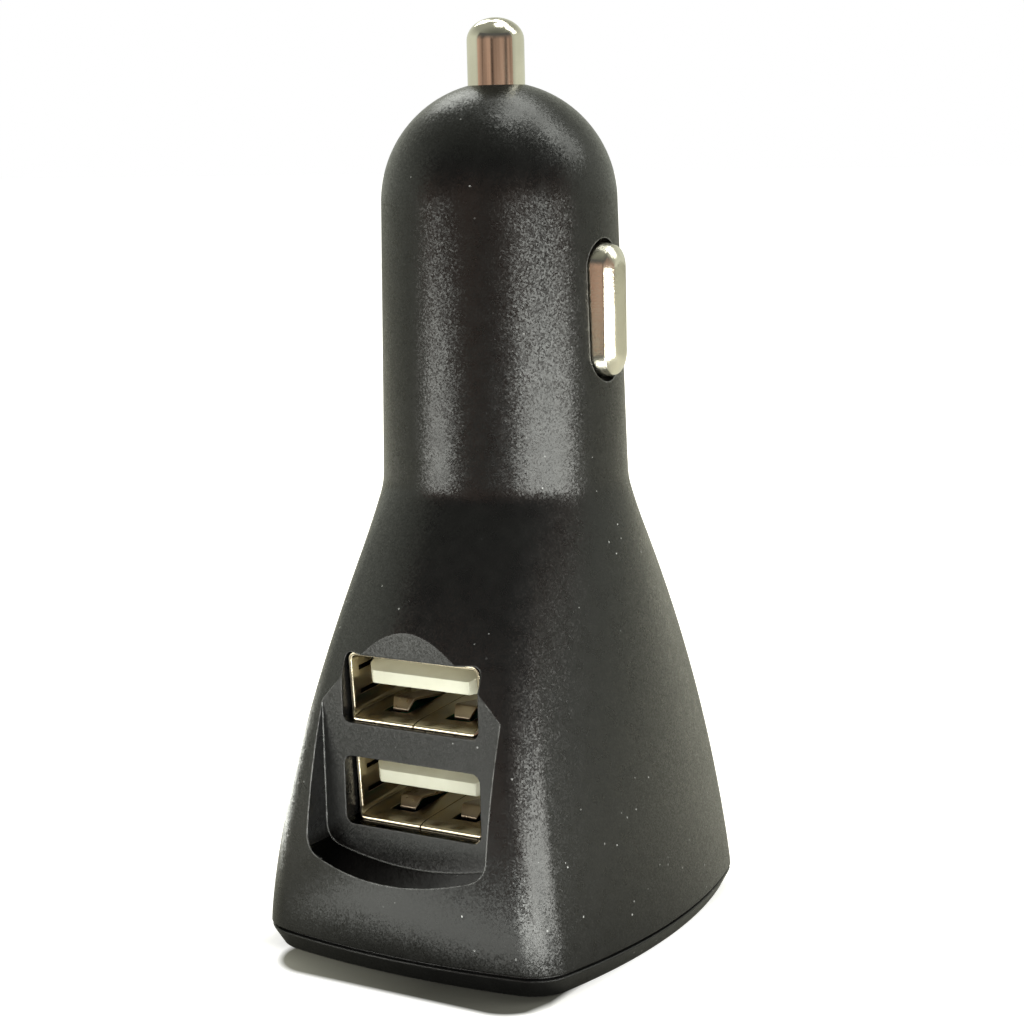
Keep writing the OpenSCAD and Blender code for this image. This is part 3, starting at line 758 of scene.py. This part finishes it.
def black_plastic(name, level, roughness, tilt, has_pocket):
    finish = Finish(name)
    facets = finish.cells(GRAIN_CELLS, "Color")
    lean = finish.vector("SUBTRACT", facets, (0.5, 0.5, 0.5))
    soft_normal = finish.rounded_edges(EDGE_RADIUS)
    true_normal = finish.node("ShaderNodeNewGeometry", {}, {}, "Normal")
    # Painted highlight: where the Bevel normal turns away from the true normal, edges get a paler grey,
    # broken up by noise, above the foot and weaker round the ports.
    edge_highlight = finish.edge_mask(soft_normal, true_normal, 0.995, 0.93)
    broken = finish.ramp(finish.noise(1500.0), 0.35, 0.55, 0.3, 1.0)
    clusters = finish.ramp(finish.noise(70.0, 1.0), 0.45, 0.6)
    some_cells = finish.red(finish.cells(DUST_CELLS, "Color")) > 1 - DUST_SHARE
    specks = (finish.cells(DUST_CELLS, "Distance") < DUST_SIZE) * some_cells * clusters
    patches = finish.noise(700.0)
    rough = finish.ramp(patches, 0.3, 0.7, roughness - 0.02, roughness + 0.03)
    color = finish.mix(finish.ramp(patches, 0.35, 0.7), grey(level), grey(level * 1.4))
    height = finish.part(finish.place, "Z")
    across = finish.part(finish.place, "X").maths("ABSOLUTE")
    around_ports = (across < PORTS_HALF_WIDTH) * (height > PORTS_BOTTOM) * (height < PORTS_TOP)
    edge_highlight = edge_highlight * (height > EDGE_HIGHLIGHT_ABOVE) * (1 - around_ports * 0.8)
    if has_pocket:
        depth = finish.part(finish.place, "Y")
        flat = (depth > -(POCKET_Y + 0.02) * MM) * (depth < -(POCKET_Y - 0.02) * MM)
        speckled = finish.mix(finish.red(facets), grey(level * 0.4), grey(level * 2.4))
        color = finish.mix(flat, color, speckled)
        # Painted shade: the bottom of the pocket, which faces up, is painted black; it is also smoother, with
        # less grain.
        bottom = (finish.part(true_normal, "Z") > 0.6) * (height < POCKET_BOTTOM_TOP)
        rough = rough - bottom * 0.16 + flat * 0.06
        tilt = tilt * (1 - (bottom + flat * 0.3))
        color = finish.mix(bottom, color, grey(0.0))
    # The painted edge highlight is mixed into the base colour here.
    color = finish.mix(edge_highlight * broken, color, grey(EDGE_HIGHLIGHT_GREY))
    color = finish.mix(specks, color, grey(DUST_GREY))
    amount = finish.node("ShaderNodeVectorMath", {"operation": "SCALE"}, {0: lean, "Scale": tilt})
    normal = finish.vector("NORMALIZE", finish.vector("ADD", soft_normal, amount))
    return finish.surface(Base_Color=color, Roughness=rough, Normal=normal, Specular_IOR_Level=0.5)


housing.data.materials.clear()
housing.data.materials.append(black_plastic("black_spark_eroded", 0.0035, 0.28, 0.15, True))
end_cap.data.materials.append(black_plastic("black_cap", 0.004, 0.34, 0.1, False))

# %% [markdown]
# Plated parts differ by how the base metal was worked: the pin is bright nickel with faint rubbing
# marks, the pressed contacts have a slight orange peel, the port sheet is satin with a warm cast,
# and the springs are drawn wire. The port's spring fingers are the same sheet, with a darker copy
# of its colour as painted shade. Scratches are long noise, stretched by a Mapping node, and edges
# have a brighter colour as a painted highlight.

# %% Metals
FINE_EDGE_RADIUS = 0.08 * MM
SCRATCH_DEPTH = 0.01 * MM
PEEL_DEPTH = 0.02 * MM


def metal(name, color, roughness, stretch, marks, variation=0.25, peel=0.0):
    finish = Finish(name)
    stretched = finish.node("ShaderNodeMapping", {}, {"Vector": finish.place, "Scale": stretch})
    lines = finish.noise(1800.0, 3.0, stretched)
    cloud = finish.noise(220.0, 3.0)
    rough = finish.ramp(lines, 0.3, 0.7, roughness * (1 - variation), roughness * (1 + variation))
    tone = finish.mix(finish.ramp(cloud, 0.35, 0.65), color, brighter(color, 0.88))
    soft_normal = finish.rounded_edges(FINE_EDGE_RADIUS)
    true_normal = finish.node("ShaderNodeNewGeometry", {}, {}, "Normal")
    # Painted highlight: edges, found where the Bevel normal turns, get a brighter copy of the metal's colour.
    edges = finish.edge_mask(soft_normal, true_normal, 0.985, 0.9)
    tone = finish.mix(edges, tone, brighter(color, 1.5))
    normal = finish.bump(lines, marks, SCRATCH_DEPTH, soft_normal)
    if peel:
        normal = finish.bump(finish.noise(4500.0), peel, PEEL_DEPTH, normal)
    return finish.surface(Base_Color=tone, Metallic=1.0, Roughness=rough, Normal=normal)


NICKEL = (0.80, 0.765, 0.65, 1.0)
plating = metal("bright_plating", NICKEL, 0.14, (1.0, 1.0, 0.15), 0.06)
pressed = metal("pressed_plating", NICKEL, 0.2, (1.0, 1.0, 0.15), 0.1, 0.25, 0.7)
port_steel = metal("port_sheet", (0.58, 0.51, 0.385, 1.0), 0.22, (1.0, 0.2, 1.0), 0.05, 0.1)
# Painted shade: the spring fingers are the same sheet as the shell, given a darker, browner copy of its
# colour.
shaded_finger_steel = metal("finger_sheet_painted_shade", (0.36, 0.29, 0.21, 1.0), 0.3, (1.0, 0.2, 1.0), 0.05, 0.1)
wire = metal("spring_wire", (0.52, 0.51, 0.5, 1.0), 0.32, (1.0, 1.0, 1.0), 0.2)
brass = metal("brass_turned", (0.72, 0.52, 0.24, 1.0), 0.28, (1.0, 1.0, 0.1), 0.3)
gold = metal("gold_strip", (0.83, 0.62, 0.29, 1.0), 0.22, (1.0, 0.1, 1.0), 0.2)
copper = metal("enamelled_copper", (0.62, 0.27, 0.12, 1.0), 0.25, (1.0, 1.0, 1.0), 0.15)
pin.data.materials.append(plating)
for piece in contacts:
    piece.data.materials.append(pressed)
for piece in shells:
    piece.data.materials.clear()
    piece.data.materials.append(shaded_finger_steel if "fingers" in piece.name else port_steel)

# %% [markdown]
# The rest is plastic, ceramic and board: off-white nylon for the tongues, green solder mask with
# tracks under it, dull black component bodies, and a glossy dark blue sleeve on the capacitors.

# %% Plastics, ceramic and boards
def moulded(name, first, second, roughness, scale, grain, coat=0.0):
    finish = Finish(name)
    cloud = finish.noise(scale, 3.0)
    fine = finish.noise(scale * 9)
    tone = finish.mix(finish.ramp(cloud, 0.3, 0.7), first, second)
    rough = finish.ramp(fine, 0.3, 0.7, roughness - 0.05, roughness + 0.05)
    normal = finish.bump(fine, grain, PEEL_DEPTH)
    return finish.surface(Base_Color=tone, Roughness=rough, Normal=normal, Coat_Weight=coat)


def solder_mask(name):
    finish = Finish(name)
    upright = {"Vector": finish.place, "Rotation": (0.0, math.pi / 2, 0.0)}
    turned = finish.node("ShaderNodeMapping", {}, upright)
    brick = finish.node("ShaderNodeTexBrick", {"offset": 0.3}, {
        "Vector": turned, "Scale": 300.0, "Mortar Size": 0.12, "Color1": (0.012, 0.13, 0.06, 1.0),
        "Color2": (0.01, 0.1, 0.05, 1.0), "Mortar": (0.02, 0.22, 0.1, 1.0)}, "Color")
    fine = finish.noise(3000.0)
    rough = finish.ramp(fine, 0.3, 0.7, 0.25, 0.35)
    return finish.surface(Base_Color=brick, Roughness=rough, Normal=finish.bump(fine, 0.15, PEEL_DEPTH))


nylon = moulded("tongue_nylon", (0.57, 0.565, 0.47, 1.0), (0.52, 0.51, 0.41, 1.0), 0.42, 500.0, 0.2)
board = solder_mask("solder_mask_green")
ferrite = moulded("sintered_ferrite", grey(0.045), grey(0.075), 0.7, 900.0, 0.8)
sleeve = moulded("capacitor_sleeve", (0.012, 0.016, 0.05, 1.0), (0.016, 0.02, 0.06, 1.0), 0.3, 300.0,
                 0.1, coat=0.3)
epoxy = moulded("component_epoxy", grey(0.02), grey(0.03), 0.6, 900.0, 0.5)
ceramic = moulded("fired_ceramic", (0.5, 0.4, 0.27, 1.0), (0.58, 0.48, 0.34, 1.0), 0.35, 900.0, 0.2)
for piece in tongues:
    piece.data.materials.append(nylon)
carried = {
    "pin_seat": brass, "usb_contacts_upper": gold, "usb_contacts_lower": gold, "port_board": board,
    "main_board": board, "inductor_core": ferrite, "inductor_winding": copper, "input_capacitor": sleeve,
    "output_capacitor": sleeve, "converter_chip": epoxy, "diode": epoxy, "board_fuse": ceramic,
    "chip_capacitors": ceramic,
}
finishes = [(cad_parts[node].data, material) for node, material in carried.items()]
finishes += [(piece.data, wire) for piece in springs]
for data, material in finishes:
    data.materials.clear()
    data.materials.append(material)

# %% [markdown]
# The studio: a pale floor that the camera sees as white while it still takes the plug's soft
# shadow. The shadow is a narrow band round the foot, with one bowed side, so the floor glows for
# the camera everywhere but in that band, and the glow thins close to the foot as a painted contact
# shadow. In the band the paper is painted darker, more towards +X, as painted shadow over the
# lamps' own. The paper is also painted dark towards the point below the camera, as shade that the
# lower handle mirrors. A surface as dark as this plastic shows mostly what it mirrors, so the
# places and shapes of the bright fields matter more than their power, and each lamp is given by
# how bright it looks.

# %% Floor
FOOT_BOX = ((0.0, -1.4), (15.0, 16.5))
SHADOW_BOX = ((1.3, -4.0), (9.1, 14.5))
BOW_CENTRE = ((-44.0, -4.5), (0.0, 0.0))
BELOW_CAMERA = ((100.0, -160.0), (0.0, 0.0))


def lit_floor():
    finish = Finish("pale_floor")
    camera_ray = finish.node("ShaderNodeLightPath", {}, {}, "Is Camera Ray")

    def beyond(box, start, end, first=0.0, last=1.0):
        middle, half = box
        offset = finish.vector("SUBTRACT", finish.place, (middle[0] * MM, middle[1] * MM, 0.0))
        reach = finish.vector("SUBTRACT", finish.vector("ABSOLUTE", offset),
                              (half[0] * MM, half[1] * MM, 0.0))
        past = finish.vector("MAXIMUM", reach, (0.0, 0.0, 0.0))
        distance = finish.vector("LENGTH", past, output="Value")
        return finish.ramp(distance, start * MM, end * MM, first, last)

    # Painted contact shadow: the glow thins to 0.7 within about 2 mm of the foot.
    painted_contact_shadow = beyond(FOOT_BOX, 0.0, 2.2, 0.7, 1.0)
    outside = beyond(SHADOW_BOX, 3.6, 4.4).maths("MAXIMUM", beyond(BOW_CENTRE, 59.5, 60.6))
    glow = painted_contact_shadow * outside * camera_ray
    # Painted shade: the paper turns dark grey towards the point below the camera; the lower handle mirrors
    # it, and it deepens the shadow band.
    paper = finish.mix(beyond(BELOW_CAMERA, 120, 220), grey(0.1), (0.79, 0.765, 0.68, 1.0))
    # Painted shadow: inside the band the paper is painted darker, more towards +X, over the lamps' own
    # shadow.
    shade = (1 - outside) * finish.ramp(finish.part(finish.place, "X"), -12 * MM, 4 * MM, 0.0, 0.68)
    return finish.surface(
        Base_Color=finish.mix(shade, paper, grey(0.0)), Roughness=0.9, Specular_IOR_Level=0.0,
        Emission_Color=finish.mix(glow, grey(0.0), grey(1.0)), Emission_Strength=1.0)


floor_mesh = bmesh.new()
bmesh.ops.create_grid(floor_mesh, x_segments=2, y_segments=2, size=3.0)
floor = finish_mesh(floor_mesh, "floor")
floor.data.materials.append(lit_floor())

# %% [markdown]
# The room's walls are darker on the camera's side and overhead, and the camera itself sees white.

# %% World
class Sky(Finish):
    def __init__(self):
        self.world = bpy.data.worlds.new("studio")
        self.world.use_nodes = True
        self.tree = self.world.node_tree
        self.tree.nodes.clear()


sky = Sky()
bpy.context.scene.world = sky.world
direction = sky.node("ShaderNodeTexCoord", {}, {}, "Generated")
behind = sky.vector("DOT_PRODUCT", direction, (-0.52, 0.85, 0.0), output="Value")
camera_ray = sky.node("ShaderNodeLightPath", {}, {}, "Is Camera Ray")
seen = camera_ray.maths("MAXIMUM", sky.node("ShaderNodeLightPath", {}, {}, "Is Transmission Ray"))
overhead = sky.ramp(sky.part(direction, "Z"), 0.25, 0.7, 1.0, 0.5)
wall_light = sky.ramp(behind, -0.75, 0.0, 0.25, 0.72) * overhead
walls = sky.mix(wall_light, grey(0.0), (0.97, 1.0, 0.85, 1.0))
background = sky.node("ShaderNodeBackground", {}, {"Color": sky.mix(seen, walls, grey(1.0))})
sky_output = sky.tree.nodes.new("ShaderNodeOutputWorld")
sky.tree.links.new(background.socket, sky_output.inputs["Surface"])

# %% [markdown]
# Two low cards of light, near the plug and about as tall as its handle, give the barrel its upright
# highlights, which fade towards the nose. Three strips on the table shine up at the handle's
# front corner, front and left side. Panels behind and above draw the arcs on the dome. The camera
# doesn't see the lamps themselves. The metal parts also mirror what stands behind the camera, so a
# brown, uneven wall goes round there, and it turns grey higher up.

# %% Softboxes
TARGET = Vector((0, 0, 0.038))
PANEL_DISTANCE = 0.7
STRIP_HEIGHT = 0.0005
LAMP_COLOR = (0.98, 1.0, 0.94)


def aim(azimuth, elevation, distance):
    turn = math.radians(azimuth)
    lift = math.radians(elevation)
    towards = Vector((math.sin(turn) * math.cos(lift), -math.cos(turn) * math.cos(lift), math.sin(lift)))
    return (Matrix.Translation(TARGET + towards * distance)
            @ towards.to_track_quat("Z", "Y").to_matrix().to_4x4())


def lamp(name, width, depth, brightness, place):
    data = bpy.data.lights.new(name, "AREA")
    data.shape = "RECTANGLE"
    data.size = width
    data.size_y = depth
    data.energy = brightness * 4 * width * depth
    data.color = LAMP_COLOR
    thing = bpy.data.objects.new(name, data)
    thing.matrix_world = place
    thing.visible_camera = False
    bpy.context.scene.collection.objects.link(thing)


def panel(name, azimuth, elevation, width, height, brightness):
    lamp(name, width, height, brightness, aim(azimuth, elevation, PANEL_DISTANCE))


def near_panel(name, azimuth, distance, width, top, brightness):
    place = aim(azimuth, 0, distance)
    lamp(name, width, top, brightness, Matrix.Translation((0, 0, top / 2 - TARGET.z)) @ place)


def table_field(name, azimuth, near, far, width, brightness):
    turn = math.radians(azimuth)
    middle = (near + far) / 2
    place = (Matrix.Translation((math.sin(turn) * middle, -math.cos(turn) * middle, STRIP_HEIGHT))
             @ Matrix.Rotation(turn, 4, "Z") @ Matrix.Rotation(math.pi, 4, "X"))
    lamp(name, width, far - near, brightness, place)


panel("back_panel", 165, 64, 0.78, 0.2, 2.7)
panel("top_panel", 135, 81, 0.25, 0.2, 3.8)
panel("left_back_panel", -128, 44, 0.2, 0.32, 2.6)
panel("right_back_panel", 128, 42, 0.25, 0.32, 2.6)
near_panel("right_near_panel", 70, 0.16, 0.15, 0.045, 7.8)
near_panel("left_near_panel", -31, 0.16, 0.07, 0.044, 5.6)
table_field("corner_field", 38, 0.04, 0.1, 0.03, 12.0)
table_field("front_field", 1, 0.026, 0.062, 0.045, 1.7)
table_field("left_field", -100, 0.05, 0.16, 0.06, 3.5)

# %% Dark surroundings behind the camera
CARD_RADIUS = 0.4
CARD_HEIGHT = 0.4
CARD_AZIMUTH = 28
CARD_ARC = 150
card_mesh = bmesh.new()
bmesh.ops.create_grid(card_mesh, x_segments=30, y_segments=1, size=0.5)
for vert in card_mesh.verts:
    turn = math.radians(CARD_AZIMUTH + CARD_ARC * vert.co.x)
    vert.co = (CARD_RADIUS * math.sin(turn), -CARD_RADIUS * math.cos(turn), CARD_HEIGHT * (0.5 + vert.co.y))
card = finish_mesh(card_mesh, "camera_card")
surroundings = Finish("brown_surroundings")
tall = surroundings.node("ShaderNodeMapping", {}, {"Vector": surroundings.place, "Scale": (1.0, 1.0, 0.25)})
shapes = surroundings.ramp(surroundings.noise(9.0, place=tall), 0.36, 0.66)
brown = surroundings.mix(shapes, (0.05, 0.033, 0.027, 1.0), (0.6, 0.39, 0.3, 1.0))
upper_part = surroundings.ramp(surroundings.part(surroundings.place, "Z"), 0.12, 0.28)
card.data.materials.append(surroundings.surface(
    Base_Color=grey(0.0), Roughness=1.0, Specular_IOR_Level=0.0, Emission_Strength=1.0,
    Emission_Color=surroundings.mix(upper_part, brown, grey(0.1))))
card.visible_camera = False
card.visible_diffuse = False
card.visible_shadow = False

# %% [markdown]
# The camera was fitted to the photograph from the plug's outline and the two port mouths. Two of
# its directions are given as they were found, because the picture is turned by a degree or so.

# %% Camera
CAMERA_PLACE = (0.10031, -0.16212, 0.06926)
camera_data = bpy.data.cameras.new("camera")
camera_data.sensor_width = 36.0
camera_data.lens = 77.31
camera_data.clip_start = 0.01
camera = bpy.data.objects.new("camera", camera_data)
right = Vector((0.8535, 0.5205, -0.0239)).normalized()
forward = Vector((-0.5165, 0.8391, -0.1706)).normalized()
up = right.cross(forward).normalized()
right = forward.cross(up)
turned = Matrix((right, up, -forward)).transposed()
camera.matrix_world = Matrix.Translation(CAMERA_PLACE) @ turned.to_4x4()
bpy.context.scene.collection.objects.link(camera)
bpy.context.scene.camera = camera
bpy.context.scene.view_settings.view_transform = "Standard"
